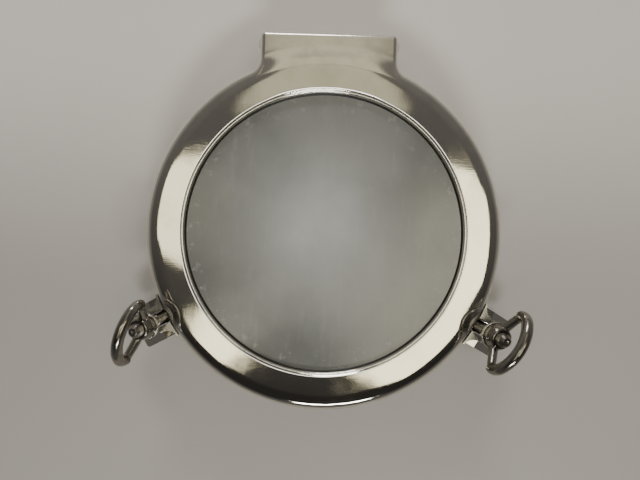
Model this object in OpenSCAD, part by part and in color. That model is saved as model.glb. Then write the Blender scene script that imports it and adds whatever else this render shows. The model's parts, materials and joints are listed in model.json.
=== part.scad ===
// Opening porthole: a round cabin window cast in polished stainless steel.
// A fixed frame is let through the hull side and carries a hinged, glazed door.
// Two swing bolts with ring nuts pull the door down on its rubber seat.
//
// Own frame: +Z points into the cabin, +Y runs from the opening to the hinge.
// The origin is on the axis of the opening, in the plane of the hull lining.
// All sizes are in millimetres.

/* [Opening and door] */
// Clear opening seen through the glass, diameter
clear_d = 250; // [200:1:300]
// Radial width of the door ring, from clear opening to outer edge
rim_w = 35; // [34.5:0.5:38]
// Height of the door ring from its under face to its crown
door_h = 17; // [16:0.5:22]
// Radius of the rolled outer shoulder of the door ring
shoulder_r = 8.5; // [6:0.5:9]
// Plan width of the bevelled inner lip
lip_w = 2.5; // [1.5:0.5:3.5]
// Fall of the crown from the shoulder to the inner lip
crown_fall = 0.8; // [0.3:0.1:1.5]
// Thickness of the toughened glass
glass_t = 8; // [6:0.5:8.5]

/* [Frame] */
// Length of the spigot that passes through the hull side
spigot_len = 24; // [15:1:40]
// Wall of the spigot
spigot_wall = 6; // [4:0.5:8]
// Thickness of the mounting flange
flange_t = 7; // [6:0.5:9]
// Height of the seat wall above the mounting flange
seat_h = 21; // [20:0.5:26]
// Diameter of the fixing screw holes in the flange
fix_hole_d = 5.5; // [4:0.5:6]
// Number of fixing screw holes
fix_count = 8; // [4:4:8]

/* [Hinge] */
// Width of the hinge block on the door
block_w = 124; // [110:1:140]
// Distance from the door ring's edge to the hinge axis
hinge_out = 12; // [11:0.5:15]
// How far the hinge block reaches past the hinge axis
block_over = 8; // [7:0.5:9]
// Drop of the block's flat face below the crown
block_drop = 3.5; // [2.5:0.5:5]
// Diameter of the hinge pin
hinge_pin_d = 8; // [6:0.5:8.5]
// Width of each frame knuckle
knuckle_w = 28; // [20:1:30]
// Wall of the bronze hinge bushes
bush_wall = 1; // [0.8:0.1:1.3]

/* [Swing bolts] */
// Angle of each swing bolt below the centre line
dog_angle = 29.4; // [27:0.2:33]
// How far the resting right bolt leans outward from upright
right_lean = 11.5; // [11:0.5:40]
// How far the resting left bolt leans outward from upright
left_lean = 14; // [11:0.5:40]
// Diameter of the bolt shank
bolt_d = 12; // [10:0.5:12.5]
// Thread pitch of the bolt
pitch = 1.75; // [1.5:0.25:1.75]
// Turns by which the resting ring nuts are backed off
loose_turns = 5; // [4:1:5]
// Radius of the eye at the foot of the bolt
eye_r = 9; // [8:0.5:9]
// Diameter of the pin through the eye
dog_pin_d = 8; // [6:0.5:9]
// Height of that pin above the hull lining
dog_z = 9.5; // [9.5:0.5:11]
// Width of the forked lug on the frame
lug_w = 39; // [34:0.5:44]
// Reach of the forked lug past the bolt pin
lug_reach = 36; // [34:0.5:37]
// Width over the two horns that guide the bolt beside the door
horn_w = 24; // [22:0.5:28]
// Height of the horns' tops below the nut's seat on the door
horn_drop = 2.5; // [2.5:0.5:6]

/* [Ring nuts] */
// Radius of the washer under each ring nut
washer_r = 12; // [11.5:0.5:12.5]
// Thickness of that washer
washer_t = 2.5; // [2:0.5:3]
// Height of the nut's hub
hub_h = 11; // [10:0.5:13]
// Overall width of the hand loop
loop_w = 60; // [52:1:64]
// Thickness of the hand loop
loop_d = 9.5; // [8:0.5:11]
// Height of the loop's widest line above the foot of the hub
loop_z = 19; // [16:0.5:21]
// Rise of the loop's centre line above its widest line
loop_rise = 18; // [16:0.5:20]
// Turn of the right ring nut about its bolt at rest
right_turn = 0; // [0:1:359]
// Turn of the left ring nut about its bolt at rest
left_turn = 133; // [0:1:359]

/* [Clearances] */
// Radial running clearance of pins in their bores
run_gap = 0.05; // [0.03:0.01:0.08]
// Gap between parts that pass each other
side_gap = 0.3; // [0.2:0.05:0.5]
// Gap left under a part that seats on another
seat_gap = 0.1; // [0.05:0.05:0.2]
// Height between the frame's seat and the door's under face
door_gap = 2; // [1.5:0.5:2.5]

/* [Hidden] */
$fn = 96;
clear_r = clear_d / 2;
door_r = clear_r + rim_w;
wall_r0 = clear_r + 14.5;
wall_r1 = clear_r + 22.5;
bore_r = clear_r + 3;
spigot_r = bore_r + spigot_wall;
fix_r = clear_r + 28;
flange_r = clear_r + 33;
seat_z = flange_t + seat_h;
door_z = seat_z + door_gap;
crown_z = door_z + door_h;

glass_r = clear_r + 4;
rebate_r = glass_r + 1.5;
clamp_r0 = clear_r + 0.5;
clamp_r = clear_r + 13;
clamp_t = 2.7;
clamp_z = door_z + side_gap;
glass_z = clamp_z + clamp_t;
bed_t = 0.6;
bed_w = 2.2;
rebate_z = glass_z + glass_t + bed_t;
lip_z = crown_z - crown_fall - lip_w;
clamp_screw_r = clear_r + 9.5;
clamp_screw_d = 4;
clamp_screw_count = 12;

groove_r0 = clear_r + 15;
groove_r1 = clear_r + 22;
groove_z = door_z + 3.5;
gasket_gap = 0.2;

hinge_y = door_r + hinge_out;
block_y = hinge_y + block_over;
block_z = crown_z - block_drop;
block_plate = 3.5;
block_fillet = 14;
block_edge = 3;
// how far a hollow corner's circle cuts into the walls it joins
bite = 0.2;
knuckle_r = hinge_pin_d / 2 + bush_wall + 2;
hinge_z = block_z - block_plate - 0.5 - knuckle_r;
cheek_w = 14.5;
cheek_x = block_w / 2 - cheek_w;
hinge_washer_t = 1.2;
knuckle_x1 = cheek_x - side_gap - hinge_washer_t;
knuckle_x0 = knuckle_x1 - knuckle_w;
pin_head_d = 12.5;
pin_head_h = 2.5;
pin_neck_d = 5;

dog_r = door_r + bolt_d / 2 + 0.5;
pad_z = crown_z - 4.5;
pad_r = washer_r + 6.5;
seat_s = pad_z - dog_z;
washer_s = seat_s + seat_gap + loose_turns * pitch;
nut_s = washer_s + washer_t;
bolt_end = nut_s + hub_h + 7.4;
eye_w = bolt_d + 0.6;
fork_gap = eye_w + 2 * side_gap;
lug_root = dog_r - wall_r1 + 1;
lug_z = dog_z + 8.5;
lug_end_z = dog_z - 1.5;
dog_head_d = 11;
dog_head_h = 2.5;
dog_sink = 2.8;
dog_clip_t = 1.6;
horn_z = pad_z - horn_drop;
horn_out = 8.5;
horn_flare = 11;
horn_gap = 0.8;
web_z = seat_z - 0.8;
hub_r = washer_r - 1.2;
hub_top_r = hub_r - 1.6;
arm_d = 7;
hoop_r = (loop_w - loop_d) / 2;
hoop_corner = 13;
corner_d = loop_d + 0.1;
hoop_cx = hoop_r - hoop_corner;
hoop_k = loop_rise - hoop_corner;
hoop_by = (hoop_k * hoop_k - hoop_cx * hoop_cx) / (2 * hoop_k);
hoop_big = loop_rise - hoop_by;
hoop_a = atan2(-hoop_by, hoop_cx);

// ---- shared shapes ----

// a tube standing on z0
module tube(r_out, r_in, z0, h) {
    translate([0, 0, z0])
        linear_extrude(h)
            difference() {
                circle(r_out);
                circle(r_in);
            }
}

// a round bar along X
module bar_x(r, x0, x1) {
    translate([x0, 0, 0])
        rotate([0, 90, 0])
            cylinder(r = r, h = x1 - x0);
}

// a round bar along Y
module bar_y(r, y0, y1) {
    translate([0, y0, 0])
        rotate([-90, 0, 0])
            cylinder(r = r, h = y1 - y0);
}

// the place of one swing bolt: origin on its pin, X outward, Z into the cabin
module at_dog(side) {
    rotate([0, 0, side > 0 ? -dog_angle : 180 + dog_angle])
        translate([dog_r, 0, dog_z])
            children();
}

// the same place, leaning outward as the resting bolt does
module on_bolt(side) {
    at_dog(side)
        rotate([0, side > 0 ? right_lean : left_lean, 0])
            children();
}

// ---- frame ----

// spigot, flange, gutter and seat wall in one turned section
module frame_section() {
    polygon([
        [bore_r, -spigot_len],
        [spigot_r - 1, -spigot_len],
        [spigot_r, -spigot_len + 1],
        [spigot_r, 0],
        [flange_r, 0],
        [flange_r, flange_t - 1.5],
        [flange_r - 1.5, flange_t],
        [wall_r1, flange_t],
        [wall_r1, seat_z - 0.8],
        [wall_r1 - 0.8, seat_z],
        [wall_r0 + 0.8, seat_z],
        [wall_r0, seat_z - 0.8],
        [wall_r0, flange_t],
        [bore_r + 1, flange_t],
        [bore_r, flange_t - 1]
    ]);
}

// plan of the forked lug, drawn from the swing bolt's pin
module lug_plan() {
    difference() {
        union() {
            translate([-lug_root, -lug_w / 2])
                square([lug_root + lug_reach - block_edge, lug_w]);
            translate([0, -lug_w / 2 + block_edge])
                square([lug_reach, lug_w - 2 * block_edge]);
            for (s = [-1, 1])
                translate([lug_reach - block_edge, s * (lug_w / 2 - block_edge)])
                    circle(block_edge, $fn = 32);
        }
        translate([0, -fork_gap / 2])
            square([lug_reach + 1, fork_gap]);
    }
}

// plan of the two guide horns, with hollow corners that spread along the door
module horn_plan() {
    fx = horn_flare - 6;
    fy = horn_w / 2 + horn_flare - bite;
    translate([-eye_r - 3, -horn_w / 2])
        square([eye_r + 3 + horn_out - block_edge, horn_w]);
    translate([-eye_r - 3, -horn_w / 2 + block_edge])
        square([eye_r + 3 + horn_out, horn_w - 2 * block_edge]);
    for (s = [-1, 1]) {
        translate([horn_out - block_edge, s * (horn_w / 2 - block_edge)])
            circle(block_edge, $fn = 32);
        difference() {
            polygon([
                [-eye_r - 3, s * (horn_w / 2 - 1)],
                [-eye_r - 3, s * (horn_w / 2 + 0.8 * horn_flare)],
                [fx - 1, s * (horn_w / 2 + 0.8 * horn_flare)],
                [fx - 1, s * (horn_w / 2 - 1)]
            ]);
            translate([fx, s * fy])
                circle(horn_flare);
        }
    }
}

// one forked lug with its sloping top, standing on the hull lining
module lug() {
    translate([0, 0, -dog_z])
        linear_extrude(horn_z)
            horn_plan();
    // web that ties the horns to the seat wall, below the door
    translate([-lug_root, -horn_w / 2 + 1, -dog_z])
        cube([lug_root - eye_r, horn_w - 2, web_z - 0.3]);
    difference() {
        translate([0, 0, -dog_z])
            linear_extrude(lug_z)
                lug_plan();
        translate([0, lug_w / 2 + 1, 0])
            rotate([90, 0, 0])
                linear_extrude(lug_w + 2)
                    polygon([
                        [12, lug_z - dog_z + 0.01],
                        [lug_reach + 1, lug_end_z - dog_z],
                        [lug_reach + 1, lug_z],
                        [12, lug_z]
                    ]);
    }
}

// side view of the web that carries a hinge knuckle
module knuckle_view() {
    circle(knuckle_r);
    polygon([
        [wall_r0 + 3 - hinge_y, flange_t - 2 - hinge_z],
        [flange_r - 1.5 - hinge_y, flange_t - 2 - hinge_z],
        [flange_r - 1.5 - hinge_y, flange_t + 3 - hinge_z],
        [0, -knuckle_r],
        [-knuckle_r + 1, 0],
        [-knuckle_r + 0.4, seat_z + 0.5 - hinge_z],
        [-knuckle_r - 2, seat_z - 1.5 - hinge_z],
        [wall_r0 + 3 - hinge_y, seat_z - 1.5 - hinge_z]
    ]);
}

module knuckle(side) {
    translate([side > 0 ? knuckle_x0 : -knuckle_x1, hinge_y, hinge_z])
        rotate([90, 0, 90])
            linear_extrude(knuckle_w)
                knuckle_view();
}

module main_frame() {
    color("Silver")
        difference() {
            union() {
                rotate_extrude($fn = 180)
                    frame_section();
                for (s = [-1, 1]) {
                    at_dog(s)
                        lug();
                    knuckle(s);
                }
            }
            // clear passage through the seat
            translate([0, 0, flange_t])
                cylinder(r = wall_r0, h = seat_h + 10, $fn = 180);
            // room for the door ring between the seat wall and the horns
            difference() {
                translate([0, 0, web_z])
                    cylinder(r = door_r + horn_gap, h = door_h, $fn = 180);
                translate([0, 0, web_z - 1])
                    cylinder(r = wall_r1 + 2, h = door_h + 2, $fn = 180);
                translate([-block_w / 2, clear_r, 0])
                    cube([block_w, 100, 100]);
            }
            // fixing holes, countersunk from the cabin side
            for (i = [0 : fix_count - 1])
                rotate([0, 0, i * 360 / fix_count])
                    translate([fix_r, 0, -1])
                        cylinder(d = fix_hole_d, h = flange_t + 2, $fn = 32);
            for (i = [0 : fix_count - 1])
                rotate([0, 0, i * 360 / fix_count])
                    translate([fix_r, 0, flange_t - 2.2])
                        cylinder(r1 = fix_hole_d / 2, r2 = fix_hole_d / 2 + 2.2,
                            h = 2.21, $fn = 32);
            // forks and pin bores for the swing bolts
            for (s = [-1, 1])
                at_dog(s) {
                    translate([-eye_r - 0.6, -fork_gap / 2, -dog_z - 1])
                        cube([eye_r + lug_reach + 2, fork_gap, horn_z + 2]);
                    bar_y(dog_pin_d / 2 + run_gap, -lug_w / 2 - 1, lug_w / 2 + 1);
                    bar_y(dog_head_d / 2 + 0.5, -lug_w / 2 - 1, -lug_w / 2 + dog_sink);
                    bar_y(dog_head_d / 2 + 0.5, lug_w / 2 - dog_sink, lug_w / 2 + 1);
                }
            // bores for the hinge bushes
            translate([0, hinge_y, hinge_z])
                bar_x(hinge_pin_d / 2 + run_gap + bush_wall, -block_w / 2, block_w / 2);
        }
}

module hinge_bush(side) {
    color("Peru")
        translate([side > 0 ? knuckle_x0 : -knuckle_x1, hinge_y, hinge_z])
            difference() {
                bar_x(hinge_pin_d / 2 + run_gap + bush_wall, 0, knuckle_w);
                bar_x(hinge_pin_d / 2 + run_gap, -1, knuckle_w + 1);
            }
}

module hinge_bush_left() {
    hinge_bush(-1);
}

module hinge_bush_right() {
    hinge_bush(1);
}

// pin of a swing bolt: a low head let into one side, a clip's neck on the other
module dog_pin(side) {
    e = lug_w / 2 - dog_sink;
    color("LightGray")
        at_dog(side) {
            bar_y(dog_pin_d / 2, -e, e);
            bar_y(dog_pin_d / 2 - 1.2, e, e + dog_head_h);
            difference() {
                bar_y(dog_head_d / 2, -e - dog_head_h, -e);
                translate([0, -e - dog_head_h - 0.01, 0])
                    rotate([-90, 0, 0])
                        difference() {
                            cylinder(d = dog_head_d + 2, h = 1);
                            cylinder(d1 = dog_head_d - 2.4, d2 = dog_head_d, h = 1.2);
                        }
            }
        }
}

module dog_pin_left() {
    dog_pin(-1);
}

module dog_pin_right() {
    dog_pin(1);
}

// the collar that keeps a pin in its fork
module dog_pin_clip(side) {
    e = lug_w / 2 - dog_sink;
    color("Gray")
        at_dog(side)
            difference() {
                bar_y(dog_head_d / 2, e, e + dog_clip_t);
                bar_y(dog_pin_d / 2 - 1.2, e - 1, e + dog_clip_t + 1);
            }
}

module dog_pin_clip_left() {
    dog_pin_clip(-1);
}

module dog_pin_clip_right() {
    dog_pin_clip(1);
}

// ---- door ----

// turned section of the door ring
module door_section() {
    polygon([
        [clear_r, lip_z],
        [clear_r + lip_w, crown_z - crown_fall],
        [door_r - shoulder_r, crown_z],
        [door_r - shoulder_r, crown_z - shoulder_r],
        [door_r, crown_z - shoulder_r],
        [door_r, door_z + 1.5],
        [door_r - 1.5, door_z],
        [groove_r1, door_z],
        [groove_r1, groove_z],
        [groove_r0, groove_z],
        [groove_r0, door_z],
        [clamp_r + side_gap, door_z],
        [clamp_r + side_gap, glass_z],
        [rebate_r, glass_z],
        [rebate_r, rebate_z],
        [clear_r, rebate_z]
    ]);
    intersection() {
        translate([door_r - shoulder_r, crown_z - shoulder_r])
            circle(shoulder_r);
        translate([door_r - shoulder_r - 0.5, crown_z - shoulder_r - 0.5])
            square(shoulder_r + 1);
    }
}

// plan of the hinge block with the hollow corners that run into the ring
module block_plan() {
    fx = block_w / 2 + block_fillet - bite;
    fy = sqrt(pow(door_r + block_fillet - bite, 2) - fx * fx);
    k = door_r / (door_r + block_fillet);
    difference() {
        translate([-block_w / 2, 0])
            square([block_w, block_y - block_edge]);
        circle(wall_r1 + 2);
        translate([-block_w / 2 - 1, 0])
            square([block_w + 2, clear_r]);
    }
    translate([-block_w / 2 + block_edge, wall_r1])
        square([block_w - 2 * block_edge, block_y - wall_r1]);
    for (s = [-1, 1]) {
        translate([s * (block_w / 2 - block_edge), block_y - block_edge])
            circle(block_edge, $fn = 32);
        difference() {
            polygon([
                [s * (block_w / 2 - 1), fy],
                [s * block_w / 2, fy],
                [s * fx * k, fy * k],
                [s * fx * k * 0.98, fy * k * 0.98],
                [s * (block_w / 2 - 1), fy * 0.9]
            ]);
            translate([s * fx, fy])
                circle(block_fillet);
        }
    }
}

module door_ring() {
    color("Gainsboro")
        difference() {
            union() {
                rotate_extrude($fn = 180)
                    door_section();
                translate([0, 0, door_z])
                    linear_extrude(block_z - door_z)
                        block_plan();
                // round bosses that carry the pin below the two cheeks
                translate([0, hinge_y, hinge_z]) {
                    bar_x(knuckle_r, -block_w / 2, -cheek_x + 1);
                    bar_x(knuckle_r, cheek_x - 1, block_w / 2);
                }
            }
            // hollow of the hinge block, open at the back
            translate([-cheek_x, hinge_y - knuckle_r - 1, hinge_z - knuckle_r - 1])
                cube([2 * cheek_x, block_over + knuckle_r + 3, 2 * knuckle_r + 1.5]);
            // pin bores in the two cheeks
            translate([0, hinge_y, hinge_z])
                bar_x(hinge_pin_d / 2 + run_gap, -block_w / 2 - 1, block_w / 2 + 1);
            // spot-faced nut seat for each swing bolt
            for (s = [-1, 1])
                at_dog(s)
                    translate([0, 0, pad_z - dog_z])
                        cylinder(r = pad_r, h = crown_z - pad_z + 1);
            // tapped holes for the clamp ring's screws
            for (i = [0 : clamp_screw_count - 1])
                rotate([0, 0, (i + 0.5) * 360 / clamp_screw_count])
                    translate([clamp_screw_r, 0, door_z])
                        cylinder(d = clamp_screw_d + 0.1, h = 11, $fn = 24);
        }
}

module glass_pane() {
    color("SlateGray")
        translate([0, 0, glass_z])
            cylinder(r = glass_r, h = glass_t, $fn = 180);
}

// bedding compound round the edge and over the face of the glass
module glazing_seal() {
    color("Black")
        rotate_extrude($fn = 180)
            polygon([
                [glass_r, glass_z],
                [rebate_r, glass_z],
                [rebate_r, rebate_z],
                [clear_r, rebate_z],
                [clear_r - 0.7, rebate_z],
                [clear_r - bed_w, rebate_z - bed_t],
                [glass_r, rebate_z - bed_t]
            ]);
}

module glass_clamp_ring() {
    color("Silver")
        difference() {
            tube(clamp_r, clamp_r0, clamp_z, clamp_t);
            for (i = [0 : clamp_screw_count - 1])
                rotate([0, 0, (i + 0.5) * 360 / clamp_screw_count])
                    translate([clamp_screw_r, 0, clamp_z]) {
                        translate([0, 0, -1])
                            cylinder(d = clamp_screw_d + 0.1, h = clamp_t + 2, $fn = 24);
                        translate([0, 0, -0.01])
                            cylinder(d1 = 2 * clamp_screw_d - 0.3, d2 = clamp_screw_d + 0.1,
                                h = 1.9, $fn = 24);
                    }
        }
}

module clamp_ring_screws() {
    color("DimGray")
        for (i = [0 : clamp_screw_count - 1])
            rotate([0, 0, (i + 0.5) * 360 / clamp_screw_count])
                translate([clamp_screw_r, 0, clamp_z])
                    difference() {
                        union() {
                            cylinder(d1 = 2 * clamp_screw_d - 0.4, d2 = clamp_screw_d,
                                h = 1.9, $fn = 24);
                            cylinder(d = clamp_screw_d, h = clamp_t + 6, $fn = 24);
                        }
                        translate([-5, -0.5, -1])
                            cube([10, 1, 1.7]);
                    }
}

// rubber seat ring held in the door's groove
module door_gasket() {
    color("#202020")
        rotate_extrude($fn = 180)
            polygon([
                [groove_r0 + gasket_gap, groove_z],
                [groove_r1 - gasket_gap, groove_z],
                [groove_r1 - gasket_gap, seat_z + seat_gap + 1],
                [groove_r1 - gasket_gap - 1, seat_z + seat_gap],
                [groove_r0 + gasket_gap + 1, seat_z + seat_gap],
                [groove_r0 + gasket_gap, seat_z + seat_gap + 1]
            ]);
}

// the slice of a ball that makes a low domed head, flat side down on z = 0
module dome(d, h) {
    r = (d * d / 4 + h * h) / (2 * h);
    difference() {
        translate([0, 0, h - r])
            sphere(r);
        translate([0, 0, -2 * r])
            cylinder(r = 2 * r, h = 2 * r);
    }
}

module hinge_pin() {
    color("LightGray")
        translate([0, hinge_y, hinge_z]) {
            bar_x(hinge_pin_d / 2, -block_w / 2, block_w / 2);
            bar_x(pin_neck_d / 2, -block_w / 2 - pin_head_h + 1.5, -block_w / 2);
            translate([block_w / 2, 0, 0])
                rotate([0, 90, 0])
                    dome(pin_head_d, pin_head_h);
        }
}

module hinge_pin_cap() {
    color("LightGray")
        translate([-block_w / 2, hinge_y, hinge_z])
            rotate([0, -90, 0])
                difference() {
                    dome(pin_head_d, pin_head_h);
                    translate([0, 0, -1])
                        cylinder(d = pin_neck_d + 2 * run_gap, h = pin_head_h - 0.5);
                }
}

// one thrust washer on each side, between knuckle and cheek
module hinge_washers() {
    color("Peru")
        for (s = [-1, 1])
            translate([s > 0 ? cheek_x - hinge_washer_t : -cheek_x, hinge_y, hinge_z])
                difference() {
                    bar_x(knuckle_r - 0.3, 0, hinge_washer_t);
                    bar_x(hinge_pin_d / 2 + run_gap, -1, hinge_washer_t + 1);
                }
}

// ---- swing bolts and ring nuts ----

module swing_bolt(side) {
    color("DarkGray")
        on_bolt(side)
            difference() {
                union() {
                    bar_y(eye_r, -eye_w / 2, eye_w / 2);
                    cylinder(d = bolt_d, h = bolt_end - 2.6, $fn = 48);
                    translate([0, 0, bolt_end - 2.6])
                        cylinder(d1 = bolt_d, d2 = bolt_d - 5, h = 2.6, $fn = 48);
                }
                bar_y(dog_pin_d / 2 + run_gap, -eye_w, eye_w);
            }
}

module swing_bolt_left() {
    swing_bolt(-1);
}

module swing_bolt_right() {
    swing_bolt(1);
}

module nut_washer(side) {
    color("Silver")
        on_bolt(side)
            tube(washer_r, bolt_d / 2 + run_gap, washer_s, washer_t);
}

module nut_washer_left() {
    nut_washer(-1);
}

module nut_washer_right() {
    nut_washer(1);
}

// part of a ring bar: centre, radius, start, sweep and thickness, in the loop's plane
module hoop_arc(cx, cz, r, start, sweep, d) {
    translate([cx, cz, 0])
        rotate_extrude(angle = sweep, start = start)
            translate([r, 0])
                circle(d = d, $fn = 40);
}

// hub with two arms that carry a wide hand loop over the bolt's end
module ring_nut(side, turn) {
    color("DarkGray")
        on_bolt(side)
            translate([0, 0, nut_s])
                rotate([0, 0, turn])
                    difference() {
                        union() {
                            rotate_extrude()
                                polygon([
                                    [0, 0],
                                    [hub_r - 0.6, 0],
                                    [hub_r, 0.6],
                                    [hub_r, 4],
                                    [hub_top_r + 0.6, hub_h - 1.5],
                                    [hub_top_r - 1, hub_h],
                                    [0, hub_h]
                                ]);
                            translate([0, 0, loop_z])
                                rotate([90, 0, 90]) {
                                    hoop_arc(hoop_cx, 0, hoop_corner, -12,
                                        hoop_a + 14, corner_d);
                                    hoop_arc(-hoop_cx, 0, hoop_corner, 178 - hoop_a,
                                        hoop_a + 14, corner_d);
                                    hoop_arc(0, hoop_by, hoop_big, hoop_a,
                                        180 - 2 * hoop_a, loop_d);
                                    for (s = [-1, 1])
                                        translate([s * (hoop_cx + hoop_corner * cos(12)),
                                            -hoop_corner * sin(12), 0])
                                            sphere(d = loop_d + 0.8, $fn = 40);
                                }
                            for (s = [-1, 1])
                                translate([0, s * 4, 6])
                                    rotate([s * -atan2(hoop_r - 4, loop_z - 7), 0, 0])
                                        cylinder(d = arm_d, h = norm([hoop_r - 4,
                                            loop_z - 7]), $fn = 32);
                        }
                        translate([0, 0, -1])
                            cylinder(r = bolt_d / 2 + run_gap, h = hub_h + 6, $fn = 48);
                    }
}

module ring_nut_left() {
    ring_nut(-1, left_turn);
}

module ring_nut_right() {
    ring_nut(1, right_turn);
}

// ---- the parts ----
main_frame();
hinge_bush_left();
hinge_bush_right();
dog_pin_left();
dog_pin_right();
dog_pin_clip_left();
dog_pin_clip_right();
door_ring();
glass_pane();
glazing_seal();
glass_clamp_ring();
clamp_ring_screws();
door_gasket();
hinge_pin();
hinge_pin_cap();
hinge_washers();
swing_bolt_left();
swing_bolt_right();
nut_washer_left();
nut_washer_right();
ring_nut_left();
ring_nut_right();
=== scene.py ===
# %% [markdown]
# # An opening porthole
# A round cabin window in polished stainless steel: a fixed frame, a hinged glazed door, and two
# swing bolts with ring nuts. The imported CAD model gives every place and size. This lesson builds
# the surfaces that a maker would polish, cut or forge, and then finishes, lights and frames them.
# Solids whose shape is right already stay as they are and only get a finish.

import json
import math

import bmesh
import bpy
import numpy as np
from mathutils import Matrix, Vector


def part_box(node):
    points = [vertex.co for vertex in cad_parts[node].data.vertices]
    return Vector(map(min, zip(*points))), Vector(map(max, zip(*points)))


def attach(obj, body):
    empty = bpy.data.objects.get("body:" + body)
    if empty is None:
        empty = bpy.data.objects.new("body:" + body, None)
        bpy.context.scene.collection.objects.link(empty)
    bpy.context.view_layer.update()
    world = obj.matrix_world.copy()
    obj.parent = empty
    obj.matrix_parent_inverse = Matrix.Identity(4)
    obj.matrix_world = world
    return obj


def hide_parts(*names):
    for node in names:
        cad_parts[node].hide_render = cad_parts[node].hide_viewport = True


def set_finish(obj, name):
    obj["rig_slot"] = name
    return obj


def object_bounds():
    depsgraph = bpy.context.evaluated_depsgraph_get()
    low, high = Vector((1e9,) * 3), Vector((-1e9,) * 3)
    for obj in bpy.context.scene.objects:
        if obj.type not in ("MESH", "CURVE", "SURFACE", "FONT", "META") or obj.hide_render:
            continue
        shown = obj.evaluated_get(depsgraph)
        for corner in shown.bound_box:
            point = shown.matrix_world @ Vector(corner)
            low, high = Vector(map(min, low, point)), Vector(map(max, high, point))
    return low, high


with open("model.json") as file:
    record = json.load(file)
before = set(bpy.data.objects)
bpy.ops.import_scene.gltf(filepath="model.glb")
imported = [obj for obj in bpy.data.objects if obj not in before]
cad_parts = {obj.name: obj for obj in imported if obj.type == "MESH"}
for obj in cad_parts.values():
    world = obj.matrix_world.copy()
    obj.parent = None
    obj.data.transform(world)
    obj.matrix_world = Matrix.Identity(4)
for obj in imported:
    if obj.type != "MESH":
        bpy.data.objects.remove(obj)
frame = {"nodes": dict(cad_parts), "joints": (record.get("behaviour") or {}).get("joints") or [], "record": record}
cad_box = [list(corner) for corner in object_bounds()]
nodes = frame["nodes"]
joints = {j["name"]: j for j in frame["joints"]}
print("CAD box, mm:", [[round(v * 1000, 1) for v in corner] for corner in cad_box])

# %% [markdown]
# Metres are awkward for a part this small, so sizes are written in millimetres and multiplied by
# `MM`. The levels and radii come from the boxes of the CAD nodes and from the joints, so that
# each new surface lands where the solid is.

# %% Measure the levels and radii that the new surfaces share
MM = 0.001
# the hinge pin's head stands this far out of the block, and the block and the washer seats lie
# this far under the crown of the ring
PIN_HEAD, BLOCK_DROP, PAD_DROP = 2.5 * MM, 3.5 * MM, 4.5 * MM
ring_low, ring_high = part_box("door_ring")
UNDER_Z, CROWN_Z = ring_low.z, ring_high.z
RING_R = (ring_high.x - ring_low.x) / 2
BLOCK_Y = ring_high.y
BLOCK_Z, PAD_Z = CROWN_Z - BLOCK_DROP, CROWN_Z - PAD_DROP
BLOCK_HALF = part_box("hinge_pin")[1].x - PIN_HEAD
GLASS_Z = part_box("glass_pane")[1].z
HINGE = Vector(joints["door_hinge"]["pos_m"])
print("door ring radius", round(RING_R / MM, 2), "half of the block", round(BLOCK_HALF / MM, 2))
print("levels", [round(z / MM, 2) for z in (UNDER_Z, GLASS_Z, PAD_Z, BLOCK_Z, CROWN_Z)])


# %% [markdown]
# Each swing bolt has its own place: origin on its pin, Z along the shank, Y along the pin. The
# joints in the record give all three, so one matrix per side puts a bolt and its nut together.

# %% Find the place of each swing bolt
def bolt_place(side):
    pin = Vector(joints[f"bolt_{side}_swing"]["pos_m"])
    across = Vector(joints[f"bolt_{side}_swing"]["axis"]).normalized()
    along = Vector(joints[f"nut_{side}_turn"]["axis"]).normalized()
    out = across.cross(along)
    turn = Matrix((out, across, along)).transposed().to_4x4()
    return Matrix.Translation(pin) @ turn


places = {side: bolt_place(side) for side in ("left", "right")}
for side, place in places.items():
    print(side, "pin at", [round(v / MM, 1) for v in place.translation])


# %% [markdown]
# Most of these surfaces are grids: a section that travels along a line. One helper turns a table
# of points into quads, closed one way or both, and another makes a turned body from radius and
# height pairs. Smooth shading with a sharp-edge angle keeps machined corners crisp.

# %% Helpers that build grids and turned bodies
def new_piece(name, verts, faces, sharp=35):
    mesh = bpy.data.meshes.new(name)
    mesh.from_pydata([tuple(v) for v in verts], [], [tuple(f) for f in faces])
    mesh.validate()
    piece = bpy.data.objects.new(name, mesh)
    bpy.context.scene.collection.objects.link(piece)
    shade(piece, sharp)
    return piece


def shade(piece, sharp=35):
    """Smooth faces, with a crease where two faces meet at more than `sharp` degrees."""
    bm = bmesh.new()
    bm.from_mesh(piece.data)
    bmesh.ops.recalc_face_normals(bm, faces=bm.faces)
    for face in bm.faces:
        face.smooth = True
    for edge in bm.edges:
        edge.smooth = len(edge.link_faces) == 2 and edge.calc_face_angle(0) < math.radians(sharp)
    bm.to_mesh(piece.data)
    bm.free()


def grid_faces(rows, cols, close_rows, close_cols):
    faces = []
    for i in range(rows if close_rows else rows - 1):
        for j in range(cols if close_cols else cols - 1):
            a, b = i * cols + j, i * cols + (j + 1) % cols
            c = ((i + 1) % rows) * cols
            faces.append((a, b, c + (j + 1) % cols, c + j))
    return faces


def end_caps(rows, cols):
    """The two faces that close the ends of a tube of rows."""
    return [tuple(range(cols))[::-1], tuple((rows - 1) * cols + k for k in range(cols))]


def turned(name, profile, steps=96, sharp=35):
    """profile: (radius, height) pairs of a closed section, in the unit of the piece."""
    turns = [2 * math.pi * k / steps for k in range(steps)]
    rows = [(r * math.cos(a), r * math.sin(a), z) for r, z in profile for a in turns]
    return new_piece(name, rows, grid_faces(len(profile), steps, True, True), sharp)


print("grid helpers ready")


# %% [markdown]
# A maker also joins and mills. `bake` applies the modifiers of a piece and leaves one clean mesh,
# `block_cutter` makes a plain block of given corners, and `combine` adds another shape to a piece
# or takes it away with an exact Boolean.

# %% Helpers that join shapes and mill pockets
def bake(piece, sharp=35):
    graph = bpy.context.evaluated_depsgraph_get()
    mesh = bpy.data.meshes.new_from_object(piece.evaluated_get(graph))
    piece.modifiers.clear()
    piece.data = mesh
    shade(piece, sharp)
    return piece


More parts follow.
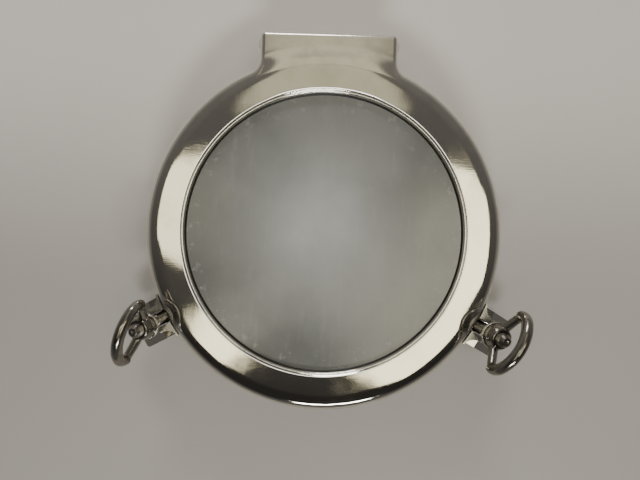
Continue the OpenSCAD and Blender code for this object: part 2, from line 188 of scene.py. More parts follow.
def block_cutter(low, high):
    corners = [Vector((x, y, z)) for x in (low[0], high[0]) for y in (low[1], high[1])
               for z in (low[2], high[2])]
    faces = [(0, 1, 3, 2), (4, 6, 7, 5), (0, 4, 5, 1), (2, 3, 7, 6), (0, 2, 6, 4), (1, 5, 7, 3)]
    return new_piece("cutter", [c * MM for c in corners], faces)


def combine(piece, other, operation, sharp=35):
    tool = piece.modifiers.new("join", "BOOLEAN")
    tool.operation, tool.solver, tool.object = operation, "EXACT", other
    bake(piece, sharp)
    bpy.data.objects.remove(other)
    return piece


print("join and mill helpers ready")


# %% [markdown]
# ## The door ring
# The real ring is one casting, machined and then polished by hand, so its edges flow into each
# other. A turned body can't carry the hinge block, and a Boolean of two solids leaves hard seams.
# So the ring is a loft: a closed outline seen from the cabin, with a section that runs inward
# from every point of it. The outline is the round edge, a hollow corner, and the straight sides
# of the hinge block.

# %% Draw the outline of the door ring with an edge radius for each point
def arc(cx, cy, r, a0, a1, count):
    for k in range(count):
        a = math.radians(a0 + (a1 - a0) * k / count)
        yield cx + r * math.cos(a), cy + r * math.sin(a)


def door_outline():
    """Rows of x, y and edge radius in mm, from the foot of the ring round to the foot again."""
    ring_r, half, top = RING_R / MM, BLOCK_HALF / MM, BLOCK_Y / MM
    hollow, corner, ring_edge, block_edge = 14.0, 4.6, 8.5, 4.3
    ring_steps, hollow_steps, side_steps, corner_steps, top_steps = 470, 26, 18, 10, 46
    fx = half + hollow
    fy = math.sqrt((ring_r + hollow) ** 2 - fx ** 2)
    a = math.degrees(math.atan2(fy, fx))
    right = [(x, y, ring_edge) for x, y in arc(0, 0, ring_r, -90, a, ring_steps)]
    for k, (x, y) in enumerate(arc(fx, fy, hollow, 180 + a, 180, hollow_steps)):
        t = k / hollow_steps
        right.append((x, y, ring_edge + (block_edge - ring_edge) * t * t * (3 - 2 * t)))
    right += [(half, fy + (top - corner - fy) * k / side_steps, block_edge)
              for k in range(side_steps)]
    right += [(x, y, block_edge)
              for x, y in arc(half - corner, top - corner, corner, 0, 90, corner_steps)]
    right += [((half - corner) * (1 - k / top_steps), top, block_edge)
              for k in range(top_steps)]
    left = [(-x, y, edge) for x, y, edge in reversed(right[1:])]
    return np.array(right + [(0, top, block_edge)] + left)


outline = door_outline()
print("outline points", len(outline))


# %% [markdown]
# The top of the ring is almost flat and falls a little to the glass. Beyond the round shoulder it
# sinks to the hinge block, and beside each swing bolt it dips to a seat for the nut's washer.
# These could be pockets cut afterwards, but a cutter leaves a hard rim. Here they are height
# rules: the lower of two heights wins, with a soft blend, as a polishing wheel leaves it.

# %% Height rules for the top of the door ring
FACE_OUTER_R, FACE_WIDTH, FACE_FALL, FACE_CURVE = 152, 24, 0.75, 1.4
BLOCK_START_R, BLOCK_END_R = 145, 172
SEAT_START, SEAT_WIDEN, SEAT_WIDE, SEAT_ROUND = 20.5, 9.5, 30, 0.4
SEAT_SLOPE, SEAT_FALL, SEAT_LEAD = 0.62, 0.12, 12
SEAT_SIDE, SEAT_SIDE_END, SEAT_SIDE_RISE = 26, 50, 9
ABOVE_ALL, SOFTNESS = 99.0, 1.6


def soft_min(a, b, k):
    h = np.clip(0.5 + 0.5 * (b - a) / k, 0, 1)
    return b * (1 - h) + a * h - k * h * (1 - h)


def smooth(a, b, x):
    t = np.clip((x - a) / (b - a), 0, 1)
    return t * t * (3 - 2 * t)


def crown_height(x, y):
    r = np.hypot(x, y)
    crown, block = CROWN_Z / MM, BLOCK_Z / MM
    face = crown - FACE_FALL * np.clip((FACE_OUTER_R - r) / FACE_WIDTH, 0, 1) ** FACE_CURVE
    return face + (block - crown) * smooth(BLOCK_START_R, BLOCK_END_R, r)


def seat_limit(x, y):
    """The height that the washer seats allow; `out` and `across` are measured from a bolt's pin."""
    limit = np.full(np.shape(x), ABOVE_ALL)
    for place in places.values():
        px, py = place.translation.x / MM, place.translation.y / MM
        reach = math.hypot(px, py)
        out = (x * px + y * py) / reach - reach
        across = (y * px - x * py) / reach
        start = SEAT_WIDEN * smooth(0, SEAT_WIDE, np.abs(across)) - SEAT_START
        slope = CROWN_Z / MM + SEAT_ROUND - SEAT_SLOPE * (out - start)
        seat = PAD_Z / MM - SEAT_FALL * np.clip(out + SEAT_LEAD, 0, None)
        beside = SEAT_SIDE_RISE * smooth(SEAT_SIDE, SEAT_SIDE_END, np.abs(across))
        limit = np.minimum(limit, np.maximum(slope, seat) + beside)
    return limit


right_pin = places["right"].translation / MM
print("crown at the face", round(float(crown_height(140.0, 0.0)), 2),
      "seat level", round(float(seat_limit(right_pin.x, right_pin.y)), 2))


# %% [markdown]
# The section climbs from the back of the ring up its side, over the rounded edge, across the
# face, down the rolled lip at the glass, and back along the rebate for the glass and the groove
# for the gasket. Each of its stations is one row of the grid, so the whole casting is one closed
# skin.

# %% Loft the section round the outline
CHAMFER = 1.5
SIDE_HEIGHTS = (CHAMFER, 3.5, 6.0)
EDGE_STEPS, FACE_STEPS, FACE_INNER_R = 10, 30, 128.4
# radius and height; the dip at 127.6 is a fine scribed line behind the lip
LIP = ((128.0, 46.05), (127.75, 45.7), (127.6, 45.62), (127.4, 45.75), (127.0, 46.0),
       (126.5, 46.08), (125.9, 45.9), (125.4, 45.3), (125.1, 44.3), (125.0, 43.0), (125.0, 41.6))
BACK = ((130.5, 41.6), (130.5, 33), (138.3, 33), (138.3, UNDER_Z / MM), (140, UNDER_Z / MM),
        (140, 33.5), (147, 33.5), (147, UNDER_Z / MM))


def door_ring_rows():
    p = outline[:, :2]
    edge = outline[:, 2]
    step = np.roll(p, -1, 0) - np.roll(p, 1, 0)
    inward = np.stack([-step[:, 1], step[:, 0]], 1) / np.linalg.norm(step, axis=1)[:, None]
    polar = p / np.linalg.norm(p, axis=1)[:, None]
    under = UNDER_Z / MM
    start = p + inward * edge[:, None]
    start_z = crown_height(start[:, 0], start[:, 1])
    rows = [np.column_stack([p + inward * CHAMFER, np.full(len(p), under)])]
    for height in SIDE_HEIGHTS:
        rows.append(np.column_stack([p, np.full(len(p), under + height)]))
    for k in range(EDGE_STEPS):
        a = math.pi / 2 * k / EDGE_STEPS
        q = p + inward * (edge * (1 - math.cos(a)))[:, None]
        z = start_z - edge * (1 - math.sin(a))
        rows.append(np.column_stack([q, soft_min(z, seat_limit(q[:, 0], q[:, 1]), SOFTNESS)]))
    inner = polar * FACE_INNER_R
    for k in range(FACE_STEPS + 1):
        q = start + (inner - start) * (k / FACE_STEPS)
        z = soft_min(crown_height(q[:, 0], q[:, 1]), seat_limit(q[:, 0], q[:, 1]), SOFTNESS)
        rows.append(np.column_stack([q, z]))
    for r, z in LIP + BACK:
        rows.append(np.column_stack([polar * r, np.full(len(p), z)]))
    return np.array(rows)


table = door_ring_rows()
ring = new_piece("door_ring_casting", table.reshape(-1, 3) * MM,
                 grid_faces(table.shape[0], table.shape[1], True, True), 40)
print("door ring loft", table.shape[0], "rows of", table.shape[1])

# %% [markdown]
# Under the hinge block the casting has two cheeks with round bosses for the pin, and it is hollow
# between them to clear the frame's knuckles. A loft can't branch like that. These edges really
# are machined, so a turned boss joined to each side and one milled pocket are both simple and
# true.

# %% Add the pin bosses and mill the hollow between them
BOSS_R, BOSS_CORE_R, BOSS_INNER_X, SIDE_GAP = 7, 0.5, 47, 0.05
HOLLOW_LOW, HOLLOW_HIGH = (-47.5, 164, 20), (47.5, 190, 40)
for low_x, high_x in ((-BLOCK_HALF / MM + SIDE_GAP, -BOSS_INNER_X),
                      (BOSS_INNER_X, BLOCK_HALF / MM - SIDE_GAP)):
    boss = turned("boss", ((BOSS_CORE_R, low_x), (BOSS_R, low_x), (BOSS_R, high_x),
                           (BOSS_CORE_R, high_x)), 72)
    boss.data.transform(Matrix.Translation(HINGE) @ Matrix.Rotation(math.radians(90), 4, "Y")
                        @ Matrix.Scale(MM, 4))
    combine(ring, boss, "UNION", 40)
combine(ring, block_cutter(HOLLOW_LOW, HOLLOW_HIGH), "DIFFERENCE", 40)
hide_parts("door_ring")
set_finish(ring, "cast_stainless")
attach(ring, "door")
print("door ring faces", len(ring.data.polygons))


# %% [markdown]
# ## The bedding line
# A bead of black compound shows round the glass as a thin line. It is wiped by hand, so its inner
# edge wanders a little. It is a turned strip with a slow, closed wobble on the wiped edge. Whole
# numbers of waves round the circle make the wobble meet itself.

# %% Lay the bedding line round the glass
WAVES_ROUND, WOBBLE = (2, 3, 5, 9, 17, 31, 47, 71), 0.16
# radius, height above the glass, and how much of the wobble a row takes
BEAD = ((129.0, 0, 0), (129.0, 0.6, 0), (124.9, 0.62, 0), (124.7, 0.85, 0.1), (124.3, 0.6, 0.5),
        (123.9, 0.15, 0.8), (123.8, 0, 0.8))


def bead_rows(steps=720):
    a = np.linspace(0, 2 * math.pi, steps, endpoint=False)
    rng = np.random.default_rng(7)
    wobble = sum(rng.normal(0, WOBBLE / math.sqrt(n)) * np.sin(n * a + rng.uniform(0, 6.28))
                 for n in WAVES_ROUND)
    rows = []
    for r, height, share in BEAD:
        rr = r + wobble * share
        rows.append(np.column_stack([rr * np.cos(a), rr * np.sin(a),
                                     np.full(steps, GLASS_Z / MM + height)]))
    return np.array(rows)


table = bead_rows()
bead = new_piece("bedding_line", table.reshape(-1, 3) * MM,
                 grid_faces(table.shape[0], table.shape[1], True, True), 60)
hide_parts("glazing_seal")
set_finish(bead, "black_sealant")
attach(bead, "door")
print("bedding line faces", len(bead.data.polygons))


# %% [markdown]
# ## The swing bolts
# A swing bolt is a threaded shank with an eye at its foot. A bump could only hint at the thread,
# and the bolt's outline would stay straight. So the thread is real: each row of the grid is
# turned on a little further, and the groove climbs one pitch in each turn. The end is bevelled,
# as cut bolts are, and has the small centre mark of the lathe.

# %% Cut the thread of a swing bolt
BOLT_R, PITCH, THREAD_DEPTH = 6.0, 1.75, 1.0
ROOT_SHARE, FLANK_SHARE = 0.0625, 0.3125
FOOT_Z, PLAIN_Z, THREAD_Z, RUN_IN, ROWS_A_TURN = 2.0, 12.0, 13.0, 2, 8
BEVEL_H, BEVEL_SLOPE = 2.6, 0.96


def node_local(node, side):
    """The corners of a CAD node in mm, seen from its own swing bolt's place."""
    co = np.array([v.co for v in nodes[node].data.vertices]).reshape(-1, 3)
    to_local = np.array(places[side].inverted())
    return (co @ to_local[:3, :3].T + to_local[:3, 3]) / MM


def thread_radius(angle, z):
    phase = (z / PITCH - angle / (2 * math.pi)) % 1.0
    crest = np.clip((np.abs(phase - 0.5) - ROOT_SHARE) / FLANK_SHARE, 0, 1)
    return BOLT_R - THREAD_DEPTH * (1 - crest)


def bolt_shank(side, steps=48):
    tip = node_local(f"swing_bolt_{side}", side)[:, 2].max()
    a = np.linspace(0, 2 * math.pi, steps, endpoint=False)
    rows = []

    def add_row(r, z):
        rows.append(np.column_stack([r * np.cos(a), r * np.sin(a), np.full(steps, z)]))

    for r, z in ((BOLT_R / 2, FOOT_Z), (BOLT_R, FOOT_Z), (BOLT_R, PLAIN_Z)):
        add_row(r, z)
    for z in np.arange(THREAD_Z, tip - 0.05, PITCH / ROWS_A_TURN):
        run_in = np.clip((z - THREAD_Z) / RUN_IN, 0, 1)
        r = BOLT_R - (BOLT_R - thread_radius(a, z)) * run_in
        bevel = BOLT_R - 0.05 - np.clip(z - (tip - BEVEL_H), 0, None) * BEVEL_SLOPE
        add_row(np.minimum(r, bevel), z)
    for r, z in ((3.3, tip), (1.3, tip), (0.5, tip - 0.9)):
        add_row(r, z)
    faces = grid_faces(len(rows), steps, False, True) + end_caps(len(rows), steps)
    return new_piece(f"swing_bolt_{side}_turned", np.array(rows).reshape(-1, 3), faces, 50)


print("rows of thread in one turn:", ROWS_A_TURN)

# %% [markdown]
# The eye turns on the pin, so its bore and its width come from the CAD's fit. It is a turned ring
# with small bevels, laid on its side and joined to the shank.

# %% Join the eye to each shank
EYE_R, EYE_HALF, EYE_BORE_R, EYE_BEVEL, BORE_BEVEL = 9.0, 6.3, 4.05, 0.9, 0.4


def bolt_eye(steps=72):
    quarter = [(EYE_BORE_R, EYE_HALF - BORE_BEVEL), (EYE_BORE_R + BORE_BEVEL, EYE_HALF),
               (EYE_R - EYE_BEVEL, EYE_HALF), (EYE_R, EYE_HALF - EYE_BEVEL)]
    profile = [(r, -z) for r, z in quarter] + quarter[::-1]
    eye = turned("eye", profile, steps)
    eye.data.transform(Matrix.Rotation(math.radians(90), 4, "X"))
    return eye


for side, place in places.items():
    bolt = bolt_shank(side)
    bolt = combine(bolt, bolt_eye(), "UNION", 50)
    bolt.data.transform(place @ Matrix.Scale(MM, 4))
    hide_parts(f"swing_bolt_{side}")
    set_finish(bolt, "bolt_stainless")
    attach(bolt, f"bolt_{side}")
    print(bolt.name, "faces", len(bolt.data.polygons))


# %% [markdown]
# ## The ring nuts
# A ring nut is forged in one: a hub, two arms and a thick hand loop that passes over the bolt's
# end. Its parts melt into each other, so they are built as plain tubes and a turned hub, then
# skinned together by a fine voxel remesh and smoothed, which rounds every inside corner.

# %% Helpers for the tubes of a ring nut
def tube(name, path, radii, steps=28):
    path = [Vector(p) for p in path]
    verts, up = [], Vector((1, 0, 0))
    for k, p in enumerate(path):
        ahead = (path[min(k + 1, len(path) - 1)] - path[max(k - 1, 0)]).normalized()
        side = ahead.cross(up).normalized()
        for s in range(steps):
            a = 2 * math.pi * s / steps
            verts.append(p + (side * math.cos(a) + up * math.sin(a)) * radii[k])
    faces = grid_faces(len(path), steps, False, True) + end_caps(len(path), steps)
    return new_piece(name, verts, faces)


def loop_path(half, corner, rise, level):
    """A low arch over the hub: one wide arc between two tight corners, in the plane of the nut."""
    tuck, corner_steps, top_steps = 14, 12, 40
    cx, k = half - corner, rise - corner
    by = (k * k - cx * cx) / (2 * k)
    a = math.degrees(math.atan2(-by, cx))
    line = [(cx + x, z) for x, z in arc(0, 0, corner, -tuck, a, corner_steps)]
    line += list(arc(0, by, rise - by, a, 180 - a, top_steps))
    line += [(-cx + x, z) for x, z in arc(0, 0, corner, 180 - a, 180 + tuck, corner_steps + 1)]
    return [(0, y, level + z) for y, z in line]


LOOP_HALF, LOOP_CORNER, LOOP_RISE, LOOP_LEVEL = 25.25, 13.0, 18.0, 19.0
path = loop_path(LOOP_HALF, LOOP_CORNER, LOOP_RISE, LOOP_LEVEL)
print("loop line points", len(path), "top at", round(max(p[2] for p in path), 1))

# %% [markdown]
# The hub starts a little above the washer, so that the two don't rub as the nut turns. The loop
# is drawn a touch thinner than the solid, so that the skin stays inside it. How far each nut is
# turned on its bolt is read from its CAD solid: the loop's ends are the points furthest from the
# bolt.

# %% Forge the two ring nuts
BORE_R, HUB_R, HUB_TOP_R, HUB_H, FOOT_GAP = 6.25, 10.8, 9.2, 11.0, 0.3
HUB = ((BORE_R, FOOT_GAP), (HUB_R - 0.5, FOOT_GAP), (HUB_R, 0.8), (HUB_R, 4),
       (HUB_TOP_R + 0.5, HUB_H - 1.4), (HUB_TOP_R - 0.9, HUB_H), (BORE_R, HUB_H))
LOOP_R, LOOP_THIN = 4.75, 0.98
ARM_START, ARM_FOOT_Z, ARM_RISE, ARM_CURVE = 8.5, 6.2, LOOP_LEVEL - 7.7, 1.08
ARM_R_IN, ARM_R_OUT, ARM_STEPS = 4.1, 3.5, 14
FINE_VOXEL, QUICK_VOXEL = 0.45, 0.8


def arm(s):
    """One arm of the nut, on the side s, which is -1 or 1."""
    line = [Vector((0, s * (ARM_START + (LOOP_HALF - ARM_START) * t),
                    ARM_FOOT_Z + ARM_RISE * t ** ARM_CURVE))
            for t in np.linspace(0, 1, ARM_STEPS)]
    return tube("arm", line, list(np.linspace(ARM_R_IN, ARM_R_OUT, ARM_STEPS)))


def ring_nut(side):
    local = node_local(f"ring_nut_{side}", side)
    foot = local[:, 2].min()
    wide = local[np.argmax(np.hypot(local[:, 0], local[:, 1]))]
    turn = math.atan2(wide[1], wide[0]) - math.pi / 2
    hub = turned("hub", HUB, 72)
    for extra in [tube("loop", path, [LOOP_R * LOOP_THIN] * len(path)), arm(-1), arm(1)]:
        bm = bmesh.new()
        bm.from_mesh(hub.data)
        bm.from_mesh(extra.data)
        bm.to_mesh(hub.data)
        bm.free()
        bpy.data.objects.remove(extra)
    hub.name = f"ring_nut_{side}_forged"
    skin = hub.modifiers.new("skin", "REMESH")
    skin.mode, skin.voxel_size = "VOXEL", FINE_VOXEL
    soften = hub.modifiers.new("soften", "SMOOTH")
    soften.factor, soften.iterations = 0.5, 8
    bake(hub, 60)
    hub.data.transform(places[side] @ Matrix.Translation((0, 0, foot * MM))
                       @ Matrix.Rotation(turn, 4, "Z") @ Matrix.Scale(MM, 4))
    return hub


for side in places:
    nut = ring_nut(side)
    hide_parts(f"ring_nut_{side}")
    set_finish(nut, "nut_stainless")
    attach(nut, f"nut_{side}")
    print(nut.name, "faces", len(nut.data.polygons))


# %% [markdown]
# ## Finishes
# Shader maths reads best as plain expressions. `Flow` wraps one socket, and its operators add the
# Math nodes, so `1 - mask * 0.3` is three words instead of two nodes and four links. Any other
# node comes from `Finish.node`, which sets the node up first and then fills its sockets.

# %% A small language for finishes
class Flow:
    def __init__(self, finish, socket):
        self.finish, self.socket = finish, socket

    def maths(self, operation, *values, clamp=False):
        settings = {"operation": operation, "use_clamp": clamp}
        return self.finish.node("ShaderNodeMath", settings, dict(enumerate(values)))

    def __add__(self, other):
        return self.maths("ADD", self, other)

    def __sub__(self, other):
        return self.maths("SUBTRACT", self, other)

    def __rsub__(self, other):
        return self.maths("SUBTRACT", other, self)

    def __mul__(self, other):
        return self.maths("MULTIPLY", self, other)

    def __pow__(self, other):
        return self.maths("POWER", self, other)

    __radd__, __rmul__ = __add__, __mul__

    def clamp(self):
        return self.maths("ADD", self, 0.0, clamp=True)

    def ramp(self, low, high, to_low=0.0, to_high=1.0, kind="SMOOTHSTEP"):
        return self.finish.node("ShaderNodeMapRange", {"interpolation_type": kind}, {
            "Value": self, "From Min": low, "From Max": high, "To Min": to_low, "To Max": to_high})


class Finish:
    """The node tree of a material or of the sky, named here as its owner."""

    def __init__(self, owner, shader="Principled BSDF", coordinates="Object"):
        owner.use_nodes = True
        self.owner, self.tree = owner, owner.node_tree
        self.shader = self.tree.nodes[shader]
        self.place = self.node("ShaderNodeTexCoord", {}, {}, coordinates)

    def node(self, kind, settings, values, output=0):
        made = self.tree.nodes.new(kind)
        for key, value in settings.items():
            setattr(made, key, value)
        for key, value in values.items():
            self.fill(made.inputs[key], value)
        return Flow(self, made.outputs[output])

    def fill(self, socket, value):
        if isinstance(value, Flow):
            self.tree.links.new(value.socket, socket)
        else:
            socket.default_value = value

    def set(self, **values):
        for key, value in values.items():
            self.fill(self.shader.inputs[key.replace("_", " ")], value)

    def noise(self, scale, detail=3.0, rough=0.5, at=None):
        return self.node("ShaderNodeTexNoise", {}, {
            "Vector": at or self.place, "Scale": scale, "Detail": detail, "Roughness": rough})

    def stretch(self, x, y, z):
        return self.node("ShaderNodeVectorMath", {"operation": "MULTIPLY"}, {
            0: self.place, 1: (x, y, z)})

    def distance(self, point):
        return self.node("ShaderNodeVectorMath", {"operation": "DISTANCE"}, {
            0: self.place, 1: point}, "Value")

    def axis(self, name):
        return self.node("ShaderNodeSeparateXYZ", {}, {"Vector": self.place}, name)

    def mix(self, share, a, b):
        """Colours go through a Mix node: sockets 0, 6 and 7 are its share and its two colours."""
        return self.node("ShaderNodeMix", {"data_type": "RGBA"}, {0: share, 6: a, 7: b}, 2)

    def bump(self, height, strength, distance, under=None):
        values = {"Height": height, "Strength": strength, "Distance": distance}
        if under is not None:
            values["Normal"] = under
        return self.node("ShaderNodeBump", {}, values)


def colour(r, g, b):
    return (r, g, b, 1.0)


def new_finish(name):
    return Finish(bpy.data.materials.new(name))


print("finish language ready")


# %% [markdown]
# Polished cast stainless is never optically flat. The buffing wheel leaves broad, slow waves that
# bend reflections, faint hairlines both ways, a few pits from the casting, and a warm film where
# handling has dulled it. The hinge block is only satin. The washers have scrubbed their two seats
# dull, and round them the colour is painted dark grey, a painted shade. The waves and hairlines go
# into the bump, the rest into roughness and colour.

# %% Polished cast stainless
SATIN_FROM, SATIN_TO = 0.150, 0.166
SEAT_R, SEAT_FADE_R = 0.017, 0.026
SEAT_TOP, SEAT_FADE_TOP = CROWN_Z - 1.4 * MM, CROWN_Z - 0.5 * MM


def seat_wear_and_shade(f):
    """1 on the two washer seats, 0 beyond them and on the face above them."""
    left, right = [1 - f.distance((place.translation.x, place.translation.y, PAD_Z))
                   .ramp(SEAT_R, SEAT_FADE_R) for place in places.values()]
    return (left + right) * (1 - f.axis("Z").ramp(SEAT_TOP, SEAT_FADE_TOP))


def polished_casting(name):
    f = new_finish(name)
    waves = f.noise(16.0, 2.0, 0.4)
    hair = f.noise(1.0, 4.0, 0.7, f.stretch(900, 60, 300))
    hair_cross = f.noise(1.0, 4.0, 0.7, f.stretch(70, 1100, 300))
    lines = hair.ramp(0.62, 0.72) + hair_cross.ramp(0.62, 0.72)
    film = f.noise(26.0, 5.0, 0.6).ramp(0.42, 0.72)
    pits = f.noise(700.0, 2.0, 0.6).ramp(0.735, 0.78)
    satin = f.axis("Y").ramp(SATIN_FROM, SATIN_TO)
    seat = seat_wear_and_shade(f)
    base = f.mix(film, colour(0.75, 0.725, 0.645), colour(0.67, 0.64, 0.56))
    # painted shade: round the washers the casting is painted dark grey; the added roughness is the scrubbed seat
    base = f.mix(seat * 0.7, base, colour(0.30, 0.295, 0.30))
    base = f.mix(pits * 0.7, base, colour(0.16, 0.14, 0.12))
    rough = 0.045 + film * 0.06 + lines * 0.05 + satin * 0.13 + seat * 0.22
    surface = f.bump(waves, 0.25, 0.0022)
    surface = f.bump(hair + hair_cross, 0.04, 0.0003, surface)
    f.set(Base_Color=base, Metallic=1.0, Roughness=rough.clamp(), Normal=surface)
    return f.owner


cast = polished_casting("polished_casting")
print("made", cast.name, "with", len(cast.node_tree.nodes), "nodes")


# %% [markdown]
# Turned and tumbled steel is duller: fine marks run round or along the part, and grime sits in
# hollows. Bolts and nuts are painted the darkest: their base is a painted shade that stands in for
# the dark room their round sides mirror, with stains on it. One recipe with a few numbers covers
# pins, bolts, nuts, the clamp ring and the bronze bushes, so they look like one family.

# %% Turned, tumbled and satin steel, and bronze
EVEN, LENGTHWISE, ROUND = (1500, 1500, 1500), (2600, 240, 2600), (600, 2600, 2600)


def worked_metal(name, bright, dark, rough, grain, bump=0.12, stains=0.5):
    """grain is how often the marks come along X, Y and Z, so a small number draws them out."""
    f = new_finish(name)
    fine = f.noise(1.0, 3.0, 0.6, f.stretch(*grain))
    stain = f.noise(140.0, 5.0, 0.65).ramp(0.40, 0.75)
    spots = f.noise(520.0, 2.0, 0.6).ramp(0.66, 0.74)
    base = f.mix(stain * stains + spots * 0.25, colour(*bright), colour(*dark))
    gloss = rough + stain * 0.14 + (fine - 0.5) * 0.12
    surface = f.bump(fine, bump, 0.0004)
    surface = f.bump(f.noise(90.0, 2.0), 0.2, 0.0006, surface)
    f.set(Base_Color=base, Metallic=1.0, Roughness=gloss.clamp(), Normal=surface)
    return f.owner


turned_steel = worked_metal("turned_steel", (0.60, 0.58, 0.54), (0.34, 0.32, 0.29), 0.20, ROUND)
satin_steel = worked_metal("satin_steel", (0.56, 0.55, 0.52), (0.40, 0.38, 0.35), 0.34, LENGTHWISE)
# painted shade: bolts and nuts get a base far darker than steel, standing in for the dark room they mirror
bolt_steel = worked_metal("bolt_steel", (0.26, 0.245, 0.215), (0.12, 0.11, 0.095), 0.26, EVEN,
                          bump=0.1, stains=0.8)
nut_steel = worked_metal("nut_steel", (0.27, 0.255, 0.225), (0.15, 0.14, 0.12), 0.14, EVEN,
                         bump=0.05, stains=0.6)
bronze = worked_metal("bronze", (0.60, 0.40, 0.20), (0.30, 0.20, 0.11), 0.36, LENGTHWISE)
print("metals", [m.name for m in (turned_steel, satin_steel, bolt_steel, nut_steel, bronze)])


# %% [markdown]
# The pane is toughened glass that has seen use: a dusty haze, wiping smears, and some rub marks
# by the edge. Its colour is also painted palest in the middle and darker towards the frame, a
# painted light and shade. Clear glass would show only the floor. So the body is part clear and
# part scattering, and a coat on top carries the soft gloss, weaker where it is smeared.

# %% Hazed glass
RUB_FROM_R, RUB_TO_R = 0.100, 0.122
PAINTED_LIGHT_FROM_R, PAINTED_LIGHT_TO_R = 0.01, 0.125


def hazed_glass(name):
    f = new_finish(name)
    cloud = f.noise(9.0, 4.0, 0.55)
    smear = f.noise(1.0, 5.0, 0.7, f.stretch(110, 22, 40)).ramp(0.50, 0.78)
    x, y = f.axis("X"), f.axis("Y")
    r = (x * x + y * y) ** 0.5
    rub = f.noise(120.0, 4.0, 0.7).ramp(0.56, 0.66) * r.ramp(RUB_FROM_R, RUB_TO_R)
    # painted light: the middle of the pane is painted paler and its edge darker; the cloud noise is the real haze
    middle = 1 - r.ramp(PAINTED_LIGHT_FROM_R, PAINTED_LIGHT_TO_R)
    haze_and_painted_light = (cloud.ramp(0.3, 0.7) * 0.35 + middle * 0.65).clamp()
    body = f.mix(haze_and_painted_light, colour(0.15, 0.157, 0.158), colour(0.60, 0.61, 0.585))
    body = f.mix(rub * 0.35 + smear * 0.18, body, colour(0.66, 0.67, 0.65))
    rough = 0.30 + smear * 0.2 + rub * 0.25
    f.set(Base_Color=body, Roughness=rough.clamp(), Transmission_Weight=0.3, IOR=1.5,
          Coat_Roughness=0.22, Coat_Weight=1.0 - smear * 0.35 - rub * 0.4)
    return f.owner


glass = hazed_glass("hazed_glass")
print("made", glass.name, "with", len(glass.node_tree.nodes), "nodes")


# %% [markdown]
# The bedding compound and the gasket are black and dull, with a little grey dust. A fine bump
# breaks up their shine.

# %% Bedding compound and seat rubber
def soft_black(name, tint, rough):
    f = new_finish(name)
    dust = f.noise(260.0, 4.0, 0.6).ramp(0.55, 0.8)
    base = f.mix(dust * 0.5, colour(*tint), colour(0.10, 0.10, 0.095))
    f.set(Base_Color=base, Roughness=rough + dust * 0.15,
          Normal=f.bump(f.noise(900.0, 3.0), 0.2, 0.0002))
    return f.owner


sealant = soft_black("bedding_compound", (0.012, 0.012, 0.012), 0.42)
rubber = soft_black("seat_rubber", (0.02, 0.02, 0.02), 0.6)
print("made", sealant.name, rubber.name)


# %% [markdown]
# Every solid and every new piece takes the finish of its slot in the record, so that one table
# decides the look of all of them.

# %% Give every piece its finish
FINISH_OF = {"cast_stainless": cast, "turned_stainless": turned_steel,
             "satin_stainless": satin_steel, "bolt_stainless": bolt_steel,
             "nut_stainless": nut_steel, "bronze": bronze, "glass": glass,
             "black_sealant": sealant, "black_rubber": rubber}
slot_of = {p["node"]: p["material_slot"] for p in frame["record"]["subparts"]}


def dress(piece, slot):
    piece.data.materials.clear()
    piece.data.materials.append(FINISH_OF[slot])


new_pieces = [o for o in bpy.data.objects if o.type == "MESH" and "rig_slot" in o]
for name, solid in nodes.items():
    dress(solid, slot_of[name])
for piece in new_pieces:
    dress(piece, piece["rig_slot"])
print("dressed", len(nodes), "solids and", len(new_pieces), "new pieces")


# %% [markdown]
# No real edge is perfectly sharp, and a narrow bevel catches the light. The mesh of a solid must
# stay as it is, so the bevel is a modifier. It works better after the many small facets of a flat
# side are joined into one.

# %% Break the sharp edges of the solids that show
WELD_GAP, SAME_PLANE, EDGE_ANGLE = 0.005 * MM, math.radians(0.6), math.radians(35)


def break_edges(name, width):
    solid = nodes[name]
    weld = solid.modifiers.new("weld", "WELD")
    weld.merge_threshold = WELD_GAP
    flat = solid.modifiers.new("flat", "DECIMATE")
    flat.decimate_type, flat.angle_limit = "DISSOLVE", SAME_PLANE
    edge = solid.modifiers.new("edge", "BEVEL")
    edge.width, edge.segments, edge.limit_method = width * MM, 2, "ANGLE"
    edge.angle_limit, edge.harden_normals = EDGE_ANGLE, False
    print(name, "edges broken by", width, "mm")


for name, width in (("main_frame", 0.6), ("nut_washer_left", 0.3), ("nut_washer_right", 0.3)):
    break_edges(name, width)


# %% [markdown]
# ## Stage, light and camera
# The porthole lies on a plain pale surface. Its colour is painted lighter towards the hinge side,
# a painted pool of light as where a studio sweep's light falls. One big square just under the
# frame's spigot is enough.

# %% Floor
FLOOR_HALF, FLOOR_GAP = 9, 0.2 * MM


def pale_floor(name):
    f = new_finish(name)
    # painted light: the floor's colour grows lighter towards the hinge side (+Y), with a little random tone
    tone_and_painted_light = f.noise(2.2, 2.0, 0.5) * 0.2 + f.axis("Y").ramp(-0.08, 0.22) * 0.8
    base = f.mix(tone_and_painted_light.clamp(), colour(0.46, 0.44, 0.425), colour(0.97, 0.93, 0.91))
    f.set(Base_Color=base, Roughness=0.62)
    return f.owner


floor_z = cad_box[0][2] - FLOOR_GAP
ends = (-FLOOR_HALF, FLOOR_HALF)
floor = new_piece("floor", [(x, y, floor_z) for x in ends for y in ends], [(0, 1, 3, 2)])
floor.data.materials.append(pale_floor("pale_floor"))
print("floor at", round(floor_z / MM, 1), "mm")


# %% [markdown]
# Polished steel shows the room and not itself. Seen from above, the almost flat face of the ring
# mirrors what hangs overhead, a little out from the axis. So each bright part of the ring has its
# own soft panel there: two on the right, two on the left, two much weaker ones beyond the hinge,
# and one in the middle for the gloss on the glass. Nothing hangs over the foot of the ring, which
# stays dark. A small lamp in front and one behind draw the thin highlights on the round edges.

# %% Soft panels and lamps
WARM, NEUTRAL = (1.0, 0.935, 0.67), (1.0, 1.0, 0.98)
PORTHOLE_MIDDLE = (0, 0, 0.03)


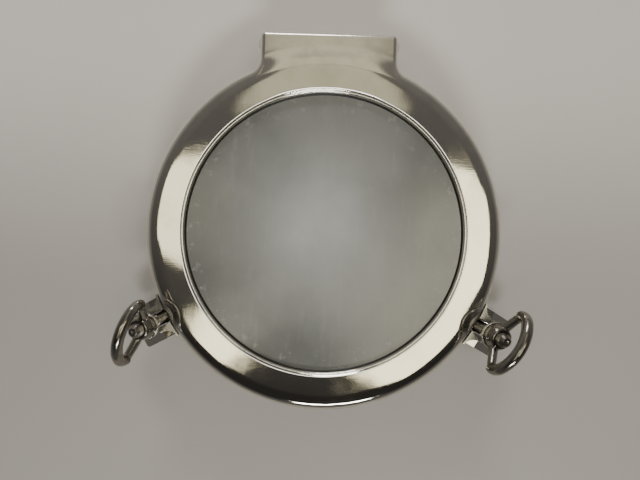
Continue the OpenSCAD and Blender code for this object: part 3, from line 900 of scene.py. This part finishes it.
def panel(name, where, size, power, tint, aim=PORTHOLE_MIDDLE):
    lamp = bpy.data.lights.new(name, "AREA")
    lamp.shape, lamp.size, lamp.size_y = "RECTANGLE", size[0], size[1]
    lamp.energy, lamp.color = power, tint
    holder = bpy.data.objects.new(name, lamp)
    holder.location = where
    holder.rotation_euler = (Vector(where) - Vector(aim)).to_track_quat("Z", "Y").to_euler()
    bpy.context.scene.collection.objects.link(holder)
    return holder


def overhead(name, azimuth, out, size, glow, height=2.0, tint=WARM):
    """A level panel that the ring mirrors: glow is its brightness, out its reach from the axis."""
    a = math.radians(azimuth)
    where = (out * math.cos(a), out * math.sin(a), height)
    holder = panel(name, where, size, glow * math.pi * size[0] * size[1], tint)
    holder.rotation_euler = (0, 0, a + math.pi / 2)
    return holder


overhead("right_panel", 1, 0.74, (0.60, 0.62), 3.0)
overhead("right_low_panel", -45, 0.74, (0.52, 0.62), 3.0)
overhead("left_panel", 168, 0.74, (0.46, 0.60), 2.2)
overhead("left_low_panel", 226, 0.74, (0.30, 0.60), 2.9)
overhead("back_panel", 90, 0.92, (0.66, 0.82), 0.56)
overhead("far_back_panel", 90, 1.72, (1.1, 0.74), 0.60)
overhead("middle_panel", 120, 0.10, (0.45, 0.40), 3.5, tint=NEUTRAL)
panel("front_lamp", (0.12, -1.35, 1.25), (0.6, 0.16), 12, (1.0, 0.98, 0.95))
panel("back_lamp", (-0.2, 2.0, 0.9), (0.6, 0.3), 13, (1.0, 0.99, 0.97))

# %% [markdown]
# The rest of the room is a dim warm grey sky. It is brighter towards the back, where the hinge
# block mirrors it, and near the horizon, which lights the sides of the ring. Overhead it stays
# dim, so that the panels stand out. The same small language writes it, with a direction in the
# room in the place of a point.

# %% Sky
def soft_sky(name):
    f = Finish(bpy.data.worlds.new(name), "Background", "Generated")
    towards_back = f.axis("Y").ramp(-0.35, 0.7, 0.03, 0.24, kind="LINEAR")
    near_horizon = f.axis("Z").ramp(0.15, 0.70, 0.20, 0.0, kind="LINEAR")
    f.set(Color=colour(0.86, 0.81, 0.77), Strength=towards_back + near_horizon)
    return f.owner


bpy.context.scene.world = soft_sky("soft_sky")
print("sky nodes", len(bpy.context.scene.world.node_tree.nodes))

# %% [markdown]
# The camera hangs straight above the closed door and looks down the axis. It is turned by less
# than two degrees and stands a few millimetres off the axis, as a hand-held camera would.

# %% Camera straight above the closed door
SENSOR_MM, LENS_MM = 36.0, 26.07
ASIDE, ALONG, ABOVE_CROWN = -3.16 * MM, -6.74 * MM, 412 * MM
lens = bpy.data.cameras.new("camera")
lens.sensor_width, lens.lens = SENSOR_MM, LENS_MM
lens.clip_start, lens.clip_end = 0.01, 50
camera = bpy.data.objects.new("camera", lens)
back_axis = Vector((0, 0, 1))
up_axis = Vector((-0.0297, 0.9996, 0)).normalized()
side_axis = up_axis.cross(back_axis)
turn = Matrix((side_axis, up_axis, back_axis)).transposed().to_4x4()
camera.matrix_world = Matrix.Translation((ASIDE, ALONG, CROWN_Z + ABOVE_CROWN)) @ turn
bpy.context.scene.collection.objects.link(camera)
bpy.context.scene.camera = camera
print("camera height", round(camera.location.z / MM, 1), "mm")
